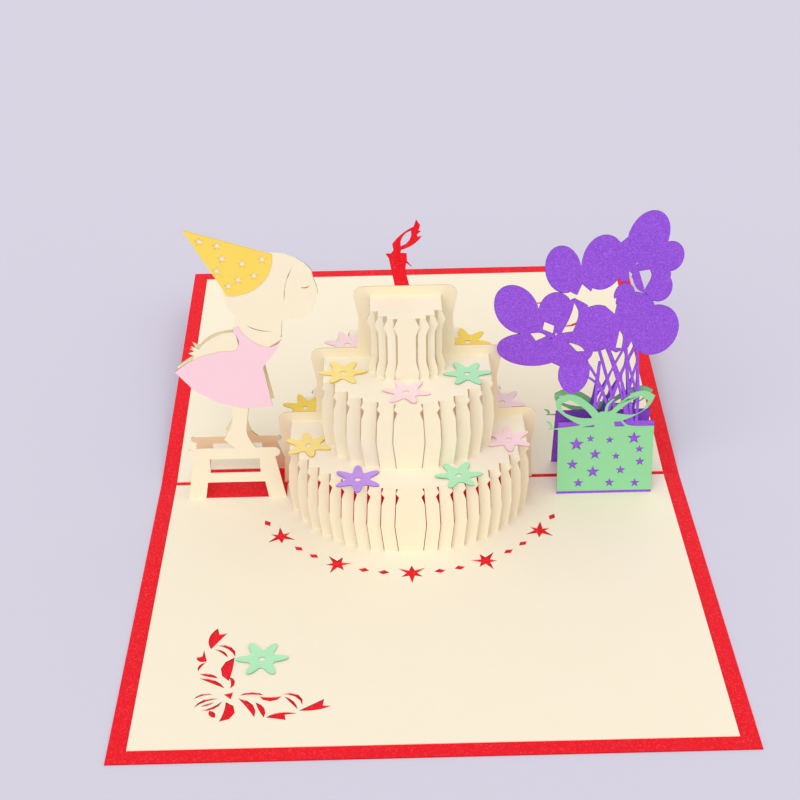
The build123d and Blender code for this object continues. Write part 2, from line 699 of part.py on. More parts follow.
# The folded cover
with BuildPart() as cover:
    with BuildSketch(Plane.YZ.offset(-CARD_WIDTH / 2)):
        with BuildLine():
            rise = radians(BACK_RISE)
            inner_fold = UP * (COVER_SHEET / cos(radians(LEAN)))
            back_edge = Vector(PAGE_DEPTH * cos(rise), PAGE_DEPTH * sin(rise))
            back_top = back_edge + Vector(-COVER_SHEET * sin(rise), COVER_SHEET * cos(rise))
            Polyline(
                (-PAGE_DEPTH, 0), (0, 0), back_edge, back_top,
                (inner_fold.Y, inner_fold.Z), (-PAGE_DEPTH, COVER_SHEET), close=True,
            )
        make_face()
    extrude(amount=CARD_WIDTH)
cover.part.label = "cover"
export_step(cover.part, "parts/cover.step")

with BuildPart() as front_liner:
    add(half_liner("front", front_cuts()))
front_liner.part.label = "front_liner"
export_step(front_liner.part, "parts/front_liner.step")

with BuildPart() as back_liner:
    add(half_liner("back", back_cuts()))
    mirror(about=CENTRE, mode=Mode.REPLACE)
back_liner.part.label = "back_liner"
export_step(back_liner.part, "parts/back_liner.step")

# Upright sheet with the cake's outline, standing on the fold
with BuildPart() as cake_panel:
    with BuildSketch(CENTRE):
        with Locations((CAKE_X, 0)):
            for index, tier in enumerate(TIERS):
                low = tier_top(index) - tier.height + PANEL_RISE if index else -FOOT_BITE
                high = tier_top(index) + PANEL_RISE
                edge = tier.panel_half
                with BuildSketch(mode=Mode.PRIVATE) as tier_panel:
                    with BuildLine():
                        for side in (1, -1):
                            hip = (side * (edge - PANEL_WAIST / 2), low)
                            armpit = (side * edge, high - SHOULDER)
                            Polyline(hip, (side * (edge - PANEL_WAIST), (low + high) / 2), armpit)
                            Polyline(
                                armpit, (side * (edge - SHOULDER / 12), high - SHOULDER / 2),
                                (side * (edge - SHOULDER / 2), high - SHOULDER / 12),
                                (side * (edge - SHOULDER), high),
                            )
                        Line((edge - SHOULDER, high), (SHOULDER - edge, high))
                        Line((edge - PANEL_WAIST / 2, low), (PANEL_WAIST / 2 - edge, low))
                    make_face()
                add(tier_panel.sketch)
    extrude(amount=PANEL_SHEET / 2, both=True)
cake_panel.part.label = "cake_panel"
export_step(cake_panel.part, "parts/cake_panel.step")

# Candle with a flame, glued behind the top of the panel
with BuildPart() as candle:
    with BuildSketch(CENTRE.offset(-PANEL_SHEET / 2)):
        with Locations((CAKE_X, tier_top(2))):
            with BuildSketch(mode=Mode.PRIVATE) as candle_outline:
                with BuildLine():
                    Polyline(
                        (-6.7, 16.8), (-5.6, 14.9), (-3.1, FOOT_CLEAR), (2.3, FOOT_CLEAR), (0.1, 10.1), (0.5, 13.0),
                        (2.6, 11.2), (0.8, 13.8), (0.7, 16.8), (-1.5, 17.0), (-1.2, 18.3),
                    )
                    ThreePointArc((-1.2, 18.3), (2.9, 20.2), (6.0, 23.5))
                    Polyline(
                        (6.0, 23.5), (4.6, 23.3), (4.3, 24.2), (5.8, 25.5), (4.9, 25.6), (5.5, 27.8),
                        (4.1, 30.0), (3.2, 27.2),
                    )
                    ThreePointArc((3.2, 27.2), (-1.5, 23.9), (-4.3, 20.6))
                    Polyline((-4.3, 20.6), (-3.9, 18.1), (-4.8, 16.9), (-6.7, 16.8))
                make_face()
                add(crescent((-1.3, 19.6), (2.3, 25.8), 1.4, -1.4), mode=Mode.SUBTRACT)
            add(candle_outline.sketch)
    extrude(amount=-TRIM_SHEET)
candle.part.label = "candle"
export_step(candle.part, "parts/candle.step")

# Paper flowers: name, tier, place from the cake's middle, distance from the fold, turn and page
FLOWERS = (
    ("flower_front_middle_left", 1, -23.0, 12.0, 0.0, "front"),
    ("flower_front_middle_centre", 1, -0.6, 26.6, 20.0, "front"),
    ("flower_front_middle_right", 1, 21.5, 14.7, 0.0, "front"),
    ("flower_front_lower_left", 0, -36.6, 17.6, 30.0, "front"),
    ("flower_front_lower_mid_left", 0, -18.4, 40.6, 50.0, "front"),
    ("flower_front_lower_mid_right", 0, 17.4, 39.6, 5.0, "front"),
    ("flower_front_lower_right", 0, 36.8, 16.8, 30.0, "front"),
    ("flower_back_middle_left", 1, -21.7, 9.3, 10.0, "back"),
    ("flower_back_middle_right", 1, 22.9, 9.3, 15.0, "back"),
    ("flower_back_lower_left", 0, -38.8, 9.3, 12.0, "back"),
    ("flower_back_lower_right", 0, 36.4, 9.9, 14.0, "back"),
)
for name, tier_index, across, distance, turn, page in FLOWERS:
    with BuildPart() as tier_flower:
        with BuildSketch(level(tier_top(tier_index, LEAN_IN[page]), CAKE_X)):
            with Locations(Location((across, -distance), turn)):
                add(flower())
        extrude(amount=TRIM_SHEET)
        if page == "back":
            mirror(about=CENTRE, mode=Mode.REPLACE)
    tier_flower.part.label = name
    export_step(tier_flower.part, f"parts/{name}.step")

with BuildPart() as page_flower:
    with BuildSketch(level(0.0)):
        with Locations((PAGE_FLOWER_X, -PAGE_FLOWER_DEPTH)):
            add(flower())
    extrude(amount=TRIM_SHEET)
page_flower.part.label = "flower_page"
export_step(page_flower.part, "parts/flower_page.step")

# Coloured sheets glued on the figures and standing in the slits, and their twins over the fold
SHEETS = (
    ("dress", FIGURE, dress, TRIM_SHEET),
    ("hat", FIGURE, hat, TRIM_SHEET),
    ("balloons", GIFT, balloons, -LINER_SHEET),
    ("gift_wrap", GIFT, gift_wrap, TRIM_SHEET),
)
for name, stances, outline, thickness in SHEETS:
    for page, stance in stances.items():
        with BuildPart() as sheet:
            add(bent_sheet(outline(), stance, thickness))
            if page == "back":
                mirror(about=CENTRE, mode=Mode.REPLACE)
        sheet.part.label = f"{name}_{page}"
        export_step(sheet.part, f"parts/{name}_{page}.step")
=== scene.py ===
"""Looks of the open paper card: paper finishes, rounded cut-outs, paper flowers, floor, light and camera."""

import logging
import math
from dataclasses import dataclass
from enum import Enum

import bmesh
import bpy
from mathutils import Matrix, Vector

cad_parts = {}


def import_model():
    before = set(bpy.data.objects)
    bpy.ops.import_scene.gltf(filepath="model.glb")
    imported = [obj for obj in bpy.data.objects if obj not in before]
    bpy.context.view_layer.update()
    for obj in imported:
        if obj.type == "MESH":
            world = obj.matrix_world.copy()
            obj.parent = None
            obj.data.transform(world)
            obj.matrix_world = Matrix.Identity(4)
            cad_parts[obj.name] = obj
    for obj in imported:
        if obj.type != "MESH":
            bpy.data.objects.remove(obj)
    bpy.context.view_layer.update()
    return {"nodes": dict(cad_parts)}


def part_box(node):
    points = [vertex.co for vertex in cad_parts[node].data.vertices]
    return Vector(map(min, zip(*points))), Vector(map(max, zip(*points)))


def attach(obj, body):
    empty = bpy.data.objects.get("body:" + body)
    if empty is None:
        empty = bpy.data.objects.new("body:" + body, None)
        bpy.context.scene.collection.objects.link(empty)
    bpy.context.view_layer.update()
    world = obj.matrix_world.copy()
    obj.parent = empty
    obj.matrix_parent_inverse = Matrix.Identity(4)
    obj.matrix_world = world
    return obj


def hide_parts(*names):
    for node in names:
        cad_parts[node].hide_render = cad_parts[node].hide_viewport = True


LOG = logging.getLogger("pop_up_card")
Colour = tuple[float, float, float]
Place = tuple[float, float, float]
SheetPlace = tuple[float, float]
Span = tuple[float, float]
Socket = bpy.types.NodeSocket
Feed = Socket | float | Colour
MM = 0.001
BACK_RISE = math.radians(6.3)
WHITE: Colour = (1.0, 1.0, 1.0)
WARM: Colour = (1.0, 0.76, 0.34)


class SheetFacing(Enum):
    """Which way a sheet faces, so that its cut edges can be told from its faces.

    A folded sheet faces several ways, and only its edges face across the card.
    """

    FOLDED = (1.0, 0.0, 0.0)
    PAGE = (0.0, 0.0, 1.0)
    BACK_PAGE = (0.0, -0.1097, 0.9940)
    UPRIGHT = (0.0, -0.9950, -0.0998)
    BACK_UPRIGHT = (0.0, 0.9994, -0.0349)
    PANEL = (0.0, -0.9985, -0.0549)


@dataclass(frozen=True)
class PaperFinish:
    """A dyed or pearl paper, as written under plain light, with a painted warm glow on its upright faces and
    cut edges darkened partly by painted shade.
    """

    name: str
    tone: Colour
    # Cut-edge colour: partly the burnt edge of the cut, partly painted shade of the slits and of the gaps
    # between layers.
    deep: Colour
    edge: Colour
    fibre_scale: float = 900.0
    fibre_share: float = 0.25
    fleck_share: float = 0.0
    fleck: Colour = WHITE
    fleck_scale: float = 2600.0
    fleck_gloss: float = 0.55
    roughness: float = 0.75
    bump: float = 0.12
    bump_depth: float = 0.05
    specular: float = 0.3
    # Painted warm glow: multiplied into upright faces in place of light shining through the paper and warm
    # shade.
    painted_glow_tint: Colour = WHITE


# Cream liner paper: its upright faces get a faint painted warm glow, and its near-black edge colour is burnt
# edge plus painted shade in the slits between the ribs.
CREAM = PaperFinish(
    "cream_paper", (0.94, 0.875, 0.725), (0.91, 0.825, 0.65), (0.10, 0.052, 0.018),
    painted_glow_tint=(1.0, 0.988, 0.925),
)
# Copy of the cream paper for the back liner with a stronger painted golden glow on its upright faces, for
# parts that stand in shade.
CREAM_PAINTED_BACK_GLOW = PaperFinish(
    "cream_paper_painted_back_glow", (0.94, 0.875, 0.725), (0.91, 0.825, 0.65), (0.20, 0.11, 0.03),
    painted_glow_tint=(1.0, 0.985, 0.81),
)
# Cream paper for the cake panel with a deeper golden tone painted over all of it, standing in for the warm
# glow of light through the paper and bounced light in shade, with golden edges.
CREAM_PAINTED_PANEL_GLOW = PaperFinish("cream_paper_painted_panel_glow", (0.935, 0.84, 0.62), (0.905, 0.79, 0.54), (0.74, 0.44, 0.13))
RED = PaperFinish(
    "red_pearl_card", (0.85, 0.006, 0.018), (0.72, 0.004, 0.012), (0.60, 0.004, 0.012),
    fibre_share=0.5, fleck_share=0.25, fleck=(0.95, 0.035, 0.055), roughness=0.6, bump=0.2, specular=0.15,
)
YELLOW = PaperFinish("yellow_paper", (0.96, 0.72, 0.125), (0.92, 0.65, 0.095), (0.62, 0.32, 0.04))
PALE_YELLOW = PaperFinish("pale_yellow_paper", (0.975, 0.80, 0.29), (0.95, 0.745, 0.23), (0.66, 0.36, 0.05))
PINK = PaperFinish("pink_paper", (0.95, 0.67, 0.78), (0.92, 0.605, 0.72), (0.66, 0.34, 0.30))
ROSE = PaperFinish("rose_paper", (0.975, 0.74, 0.80), (0.95, 0.68, 0.735), (0.66, 0.34, 0.30))
GREEN = PaperFinish("green_paper", (0.295, 0.69, 0.365), (0.245, 0.62, 0.305), (0.03, 0.07, 0.045))
MINT = PaperFinish("mint_paper", (0.46, 0.85, 0.56), (0.40, 0.79, 0.49), (0.14, 0.36, 0.18))
# The purple card's dark edge colour is painted shade between the two balloon layers.
PURPLE = PaperFinish(
    "purple_card", (0.285, 0.078, 0.73), (0.235, 0.058, 0.65), (0.06, 0.03, 0.07),
    fibre_share=0.4, fleck_share=0.45, fleck=(0.41, 0.14, 0.89), fleck_scale=3400.0, roughness=0.7, bump=0.2,
)
LILAC = PaperFinish("lilac_paper", (0.53, 0.31, 0.90), (0.47, 0.26, 0.83), (0.18, 0.08, 0.36))


@dataclass
class NodeBench:
    """Adds nodes to one node tree."""

    tree: bpy.types.NodeTree

    def feed(self, socket: Socket, value: Feed) -> None:
        """Links an input to a socket, or sets a plain value on it.

        Args:
            socket: the input.
            value: a socket, a number or a colour.
        """
        if isinstance(value, Socket):
            self.tree.links.new(value, socket)
        elif isinstance(value, tuple):
            socket.default_value = (*value, 1.0)
        else:
            socket.default_value = value

    def math(self, operation: str, *values: Feed) -> Socket:
        """Adds a sum.

        Args:
            operation: Blender's name of the sum.
            values: its terms, sockets or numbers.

        Returns:
            The result's socket.
        """
        node = self.tree.nodes.new("ShaderNodeMath")
        node.operation = operation
        for socket, value in zip(node.inputs, values):
            self.feed(socket, value)
        return node.outputs["Value"]

    def remap(self, value: Socket, source: Span, low: Feed, high: Feed) -> Socket:
        """Stretches a value from one range to another.

        Args:
            value: the value's socket.
            source: the range that it has.
            low: what the range's low end becomes, a socket or a number.
            high: what the range's high end becomes, a socket or a number.

        Returns:
            The result's socket.
        """
        node = self.tree.nodes.new("ShaderNodeMapRange")
        ends = {"Value": value, "From Min": source[0], "From Max": source[1], "To Min": low, "To Max": high}
        for label, end in ends.items():
            self.feed(node.inputs[label], end)
        return node.outputs["Result"]

    def mix(self, factor: Socket, first: Feed, second: Feed, blend: str = "MIX") -> Socket:
        """Mixes two colours.

        Args:
            factor: the socket that drives the mix.
            first: a colour or a socket.
            second: a colour or a socket.
            blend: how the second colour acts on the first.

        Returns:
            The mixed colour's socket.
        """
        node = self.tree.nodes.new("ShaderNodeMix")
        node.data_type = "RGBA"
        node.blend_type = blend
        self.feed(node.inputs["Factor"], factor)
        for label, value in (("A", first), ("B", second)):
            self.feed(next(s for s in node.inputs if s.name == label and s.type == "RGBA"), value)
        return next(s for s in node.outputs if s.type == "RGBA")

    def group(self, shared: bpy.types.NodeTree) -> bpy.types.Node:
        """Places a shared group and returns its node."""
        node = self.tree.nodes.new("ShaderNodeGroup")
        node.node_tree = shared
        return node

    def place(self, label: str) -> Socket:
        """Returns a texture coordinate's socket by its name."""
        return self.tree.nodes.new("ShaderNodeTexCoord").outputs[label]


@dataclass
class FinishBench:
    """Builds the shared shader groups once, and one material for each finish and facing."""

    cloud_scale: float = 60.0
    cloud_detail: float = 4.0
    cloud_share: float = 0.45
    fine_detail: float = 3.0
    fibre_spread: Span = (0.32, 0.68)
    edge_band: Span = (0.25, 0.6)
    # Band of upright faces that get the painted warm glow.
    painted_glow_band: Span = (0.5, 0.8)

    def __post_init__(self) -> None:
        """Makes the shared groups."""
        self.fibre = self._fibre_group()
        self.cut_edge = self._cut_edge_group()
        self.fleck = self._fleck_group()
        self.standing = self._painted_glow_group()
        self.made: dict[tuple[str, str], bpy.types.Material] = {}

    def _new_group(
        self, name: str, inputs: list[tuple[str, str, float | Colour]], outputs: list[str],
    ) -> tuple[bpy.types.NodeTree, NodeBench, bpy.types.Node, bpy.types.Node]:
        """Starts a shader group.

        Args:
            name: the group's name.
            inputs: name, socket type and default of each input.
            outputs: name of each output, all plain values.

        Returns:
            The group, its node bench, its input node and its output node.
        """
        group = bpy.data.node_groups.new(name, "ShaderNodeTree")
        for label, kind, default in inputs:
            socket = group.interface.new_socket(name=label, in_out="INPUT", socket_type=kind)
            socket.default_value = default
        for label in outputs:
            group.interface.new_socket(name=label, in_out="OUTPUT", socket_type="NodeSocketFloat")
        return group, NodeBench(group), group.nodes.new("NodeGroupInput"), group.nodes.new("NodeGroupOutput")

    def _fibre_group(self) -> bpy.types.NodeTree:
        """Returns the group of soft paper fibre: a cloudy tone and a fine height."""
        group, bench, ins, outs = self._new_group(
            "paper_fibre", [("Scale", "NodeSocketFloat", PaperFinish.fibre_scale)], ["Tone", "Height"],
        )
        place = bench.place("Object")
        noises = []
        for scale, detail in ((ins.outputs["Scale"], self.fine_detail), (self.cloud_scale, self.cloud_detail)):
            noise = group.nodes.new("ShaderNodeTexNoise")
            bench.feed(noise.inputs["Vector"], place)
            bench.feed(noise.inputs["Scale"], scale)
            bench.feed(noise.inputs["Detail"], detail)
            noises.append(noise.outputs["Fac"])
        fine, cloud = noises
        blend = group.nodes.new("ShaderNodeMix")
        bench.feed(blend.inputs["Factor"], self.cloud_share)
        bench.feed(blend.inputs["A"], fine)
        bench.feed(blend.inputs["B"], cloud)
        bench.feed(outs.inputs["Tone"], bench.remap(blend.outputs["Result"], self.fibre_spread, 0.0, 1.0))
        bench.feed(outs.inputs["Height"], fine)
        return group

    def _cut_edge_group(self) -> bpy.types.NodeTree:
        """Returns the group that masks the cut edges of a sheet by its facing."""
        group, bench, ins, outs = self._new_group(
            "cut_edge",
            [("Facing", "NodeSocketVector", SheetFacing.PAGE.value), ("On Faces", "NodeSocketFloat", 0.0)],
            ["Mask"],
        )
        toward = group.nodes.new("ShaderNodeVectorMath")
        toward.operation = "DOT_PRODUCT"
        bench.feed(toward.inputs[0], bench.place("Normal"))
        bench.feed(toward.inputs[1], ins.outputs["Facing"])
        size = bench.math("ABSOLUTE", toward.outputs["Value"])
        on_faces = ins.outputs["On Faces"]
        mask = bench.remap(size, self.edge_band, bench.math("SUBTRACT", 1.0, on_faces), on_faces)
        bench.feed(outs.inputs["Mask"], mask)
        return group

    def _fleck_group(self) -> bpy.types.NodeTree:
        """Returns the group of fine pearl flecks in a dyed card."""
        group, bench, ins, outs = self._new_group(
            "pearl_fleck",
            [("Scale", "NodeSocketFloat", PaperFinish.fleck_scale), ("Share", "NodeSocketFloat", 0.0)],
            ["Mask"],
        )
        cells = group.nodes.new("ShaderNodeTexVoronoi")
        bench.feed(cells.inputs["Vector"], bench.place("Object"))
        bench.feed(cells.inputs["Scale"], ins.outputs["Scale"])
        split = group.nodes.new("ShaderNodeSeparateColor")
        bench.feed(split.inputs["Color"], cells.outputs["Color"])
        chosen = bench.math("LESS_THAN", split.outputs["Red"], ins.outputs["Share"])
        bench.feed(outs.inputs["Mask"], bench.math("MULTIPLY", chosen, split.outputs["Green"]))
        return group

    def _painted_glow_group(self) -> bpy.types.NodeTree:
        """Returns the group that masks paper standing up, where a painted warm glow stands in for light that
        passes through it.
        """
        group, bench, _, outs = self._new_group("upright_painted_glow", [], ["Mask"])
        split = group.nodes.new("ShaderNodeSeparateXYZ")
        bench.feed(split.inputs["Vector"], bench.place("Normal"))
        size = bench.math("ABSOLUTE", split.outputs["Z"])
        bench.feed(outs.inputs["Mask"], bench.remap(size, self.painted_glow_band, 1.0, 0.0))
        return group

    def material(self, finish: PaperFinish, facing: SheetFacing) -> bpy.types.Material:
        """Makes or finds the material of a sheet.

        Args:
            finish: the paper.
            facing: which way the sheet faces.

        Returns:
            The material.
        """
        key = (finish.name, facing.name)
        if key in self.made:
            return self.made[key]
        material = bpy.data.materials.new(f"{finish.name}_{facing.name.lower()}")
        material.use_nodes = True
        shader = material.node_tree.nodes["Principled BSDF"]
        bench = NodeBench(material.node_tree)
        fibre = bench.group(self.fibre)
        fibre.inputs["Scale"].default_value = finish.fibre_scale
        depth = bench.math("MULTIPLY", fibre.outputs["Tone"], finish.fibre_share)
        colour = bench.mix(depth, finish.tone, finish.deep)
        roughness: Feed = finish.roughness
        if finish.fleck_share > 0.0:
            fleck = bench.group(self.fleck)
            fleck.inputs["Scale"].default_value = finish.fleck_scale
            fleck.inputs["Share"].default_value = finish.fleck_share
            colour = bench.mix(fleck.outputs["Mask"], colour, finish.fleck)
            glossy = finish.roughness * finish.fleck_gloss
            roughness = bench.remap(fleck.outputs["Mask"], (0.0, 1.0), finish.roughness, glossy)
        bench.feed(shader.inputs["Roughness"], roughness)
        # Upright faces get the painted warm glow tint multiplied in.
        if finish.painted_glow_tint != WHITE:
            standing = bench.group(self.standing)
            colour = bench.mix(standing.outputs["Mask"], colour, finish.painted_glow_tint, "MULTIPLY")
        cut = bench.group(self.cut_edge)
        cut.inputs["Facing"].default_value = facing.value
        cut.inputs["On Faces"].default_value = 1.0 if facing is SheetFacing.FOLDED else 0.0
        # Cut edges take the edge colour: burnt edge partly, painted shade in slits and between layers partly.
        bench.feed(shader.inputs["Base Color"], bench.mix(cut.outputs["Mask"], colour, finish.edge))
        bump = material.node_tree.nodes.new("ShaderNodeBump")
        bump.inputs["Strength"].default_value = finish.bump
        bump.inputs["Distance"].default_value = finish.bump_depth * MM
        bench.feed(bump.inputs["Height"], fibre.outputs["Height"])
        bench.feed(shader.inputs["Normal"], bump.outputs["Normal"])
        shader.inputs["Specular IOR Level"].default_value = finish.specular
        self.made[key] = material
        return material

    def dress(self, obj: bpy.types.Object, finish: PaperFinish, facing: SheetFacing) -> None:
        """Gives a piece one finish.

        Args:
            obj: the piece.
            finish: the paper.
            facing: which way its sheet faces.
        """
        material = self.material(finish, facing)
        if obj.material_slots:
            for slot in obj.material_slots:
                slot.material = material
        else:
            obj.data.materials.append(material)


@dataclass
class CardSheets:
    """The cover, the liners and the other sheets whose CAD shapes stay as they are."""

    nodes: dict[str, bpy.types.Object]

    def dress(self, bench: FinishBench) -> None:
        """Gives each of these sheets its paper.

        Args:
            bench: the maker of finishes.
        """
        plan = {
            "cover": (RED, SheetFacing.PAGE),
            "front_liner": (CREAM, SheetFacing.FOLDED),
            "back_liner": (CREAM_PAINTED_BACK_GLOW, SheetFacing.FOLDED),
            "cake_panel": (CREAM_PAINTED_PANEL_GLOW, SheetFacing.PANEL),
            "candle": (RED, SheetFacing.PANEL),
            "dress_front": (PINK, SheetFacing.UPRIGHT),
            "dress_back": (PINK, SheetFacing.BACK_UPRIGHT),
            "hat_front": (YELLOW, SheetFacing.UPRIGHT),
            "hat_back": (YELLOW, SheetFacing.BACK_UPRIGHT),
        }
        for name, (finish, facing) in plan.items():
            bench.dress(self.nodes[name], finish, facing)
            LOG.info("sheet %s in %s", name, finish.name)


def put_in_scene(bm: bmesh.types.BMesh, name: str) -> bpy.types.Object:
    """Turns a finished mesh into an object of the scene.

    Args:
        bm: the mesh, which is used up.
        name: the object's name.

    Returns:
        The object.
    """
    mesh = bpy.data.meshes.new(name)
    bm.to_mesh(mesh)
    bm.free()
    obj = bpy.data.objects.new(name, mesh)
    bpy.context.scene.collection.objects.link(obj)
    return obj


def stand_in(bm: bmesh.types.BMesh, node: str) -> bpy.types.Object:
    """Turns a finished mesh into the piece that stands for a CAD node.

    Args:
        bm: the mesh, which is used up.
        node: the CAD node.

    Returns:
        The piece.
    """
    obj = put_in_scene(bm, f"paper_{node}")
    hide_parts(node)
    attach(obj, "root")
    return obj


@dataclass(frozen=True)
class SheetFold:
    """A standing sheet's middle seen from the side: foot, knee and top, back and up in millimetres."""

    foot: SheetPlace
    knee: SheetPlace
    top: SheetPlace
    across: float = 69.3

    def point(self, across: float, up: float) -> Vector:
        """Finds a place on the sheet.

        Args:
            across: millimetres to the right of the sheet's middle.
            up: millimetres up along the sheet from its foot.

        Returns:
            The place in millimetres.
        """
        foot, knee, top = (Vector(place) for place in (self.foot, self.knee, self.top))
        rise = (knee - foot).length
        if up <= rise:
            place = foot + (knee - foot).normalized() * up
        else:
            place = knee + (top - knee).normalized() * (up - rise)
        return Vector((self.across + across, place.x, place.y))


@dataclass(frozen=True)
class PaperString:
    """A narrow curved strip left standing between cuts: two ends and the point it bends towards."""

    start: SheetPlace
    bend: SheetPlace
    end: SheetPlace
    width: float = 0.8
    steps: int = 12

    def add(self, bm: bmesh.types.BMesh, fold: SheetFold, thickness: float) -> None:
        """Adds the strip to a sheet's mesh.

        Args:
            bm: the sheet's mesh.
            fold: where the sheet stands.
            thickness: the strip's thickness in millimetres.
        """
        start, bend, end = (Vector(place) for place in (self.start, self.bend, self.end))
        strip = bmesh.ops.create_grid(bm, x_segments=self.steps, y_segments=1, size=0.5)["verts"]
        for vert in strip:
            share, side = vert.co.x + 0.5, vert.co.y * self.width
            place = start.lerp(bend, share).lerp(bend.lerp(end, share), share)
            along = (bend - start).lerp(end - bend, share).normalized()
            spot = fold.point(place.x - along.y * side, place.y + along.x * side)
            vert.co = (spot - Vector((0.0, thickness / 2.0, 0.0))) * MM
        faces = list(dict.fromkeys(face for vert in strip for face in vert.link_faces))
        grown = bmesh.ops.extrude_face_region(bm, geom=faces)["geom"]
        moved = [part for part in grown if isinstance(part, bmesh.types.BMVert)]
        bmesh.ops.translate(bm, vec=(0.0, thickness * MM, 0.0), verts=moved)
        shell = list(dict.fromkeys(face for vert in (*strip, *moved) for face in vert.link_faces))
        bmesh.ops.recalc_face_normals(bm, faces=shell)


FRONT_FOLD = SheetFold((-12.38, 0.70), (-5.54, 52.43), (-9.01, 115.40))
BACK_FOLD = SheetFold((8.17, 1.55), (-4.91, 46.47), (-8.68, 114.90))
BALLOON_STRINGS = (
    PaperString((-7.7, 47.8), (-0.9, 44.4), (2.4, 27.2)),
    PaperString((-9.0, 55.0), (-1.8, 46.2), (2.7, 27.2)),
    PaperString((-1.6, 61.0), (3.8, 48.4), (8.3, 27.2)),
    PaperString((5.2, 60.0), (8.0, 51.1), (11.4, 39.0)),
    PaperString((-6.3, 27.2), (-1.1, 45.7), (5.5, 60.2)),
    PaperString((-0.8, 27.2), (3.2, 46.2), (10.2, 62.0)),
    PaperString((5.9, 27.2), (8.2, 44.6), (10.5, 53.7)),
)


@dataclass
class CutOut:
    """An upright cut-out sheet, its CAD outline rounded off where short straight cuts follow a curve.

    Lengths are in millimetres and angles in degrees.
    """

    node: str
    finish: PaperFinish
    slot: str
    facing: SheetFacing
    fold: SheetFold | None = None
    strings: tuple[PaperString, ...] = ()
    turn_limits: Span = (6.0, 50.0)
    through_limit: float = 0.85
    round_percent: float = 42.0
    round_steps: int = 4
    merge_reach: float = 0.005
    sliver: float = 0.002
    flat_angle: float = 1.0
    # Each string is a little thinner than the one before, so that where two cross no faces share a plane
    string_thickness: float = 0.27
    string_step: float = 0.012

    def _corners(self, bm: bmesh.types.BMesh) -> list[bmesh.types.BMEdge]:
        """Returns the edges through the sheet at which its outline makes a slight turn."""
        through = Vector(self.facing.value)
        low, high = (math.radians(limit) for limit in self.turn_limits)
        return [
            edge for edge in bm.edges
            if edge.is_manifold
            and abs((edge.verts[1].co - edge.verts[0].co).normalized().dot(through)) > self.through_limit
            and low < edge.calc_face_angle() < high
        ]

    def build(self, sheet: bpy.types.Object) -> bpy.types.Object:
        """Models the rounded sheet from a merged copy of the CAD one.

        Args:
            sheet: the CAD sheet's object.

        Returns:
            The rounded sheet's object.
        """
        bm = bmesh.new()
        bm.from_mesh(sheet.data)
        bmesh.ops.remove_doubles(bm, verts=bm.verts, dist=self.merge_reach * MM)
        bmesh.ops.dissolve_limit(
            bm, angle_limit=math.radians(self.flat_angle), verts=bm.verts[:], edges=bm.edges[:],
        )
        corners = self._corners(bm)
        LOG.info("cut-out %s with %d rounded corners", self.node, len(corners))
        bmesh.ops.bevel(
            bm, geom=corners, offset=self.round_percent, offset_type="PERCENT", affect="EDGES",
            segments=self.round_steps, profile=0.5, material=-1,
        )
        bmesh.ops.triangulate(bm, faces=bm.faces[:])
        bmesh.ops.dissolve_degenerate(bm, dist=self.sliver * MM, edges=bm.edges[:])
        for index, string in enumerate(self.strings):
            string.add(bm, self.fold, self.string_thickness - self.string_step * index)
        return stand_in(bm, self.node)

    def dress(self, obj: bpy.types.Object, bench: FinishBench) -> None:
        """Gives the cut-out its paper."""
        bench.dress(obj, self.finish, self.facing)


CUT_OUTS = (
    CutOut("balloons_front", PURPLE, "purple_card", SheetFacing.UPRIGHT, FRONT_FOLD, BALLOON_STRINGS),
    CutOut("balloons_back", PURPLE, "purple_card", SheetFacing.BACK_UPRIGHT, BACK_FOLD, BALLOON_STRINGS),
    CutOut("gift_wrap_front", GREEN, "green_paper", SheetFacing.UPRIGHT),
    CutOut("gift_wrap_back", GREEN, "green_paper", SheetFacing.BACK_UPRIGHT),
)


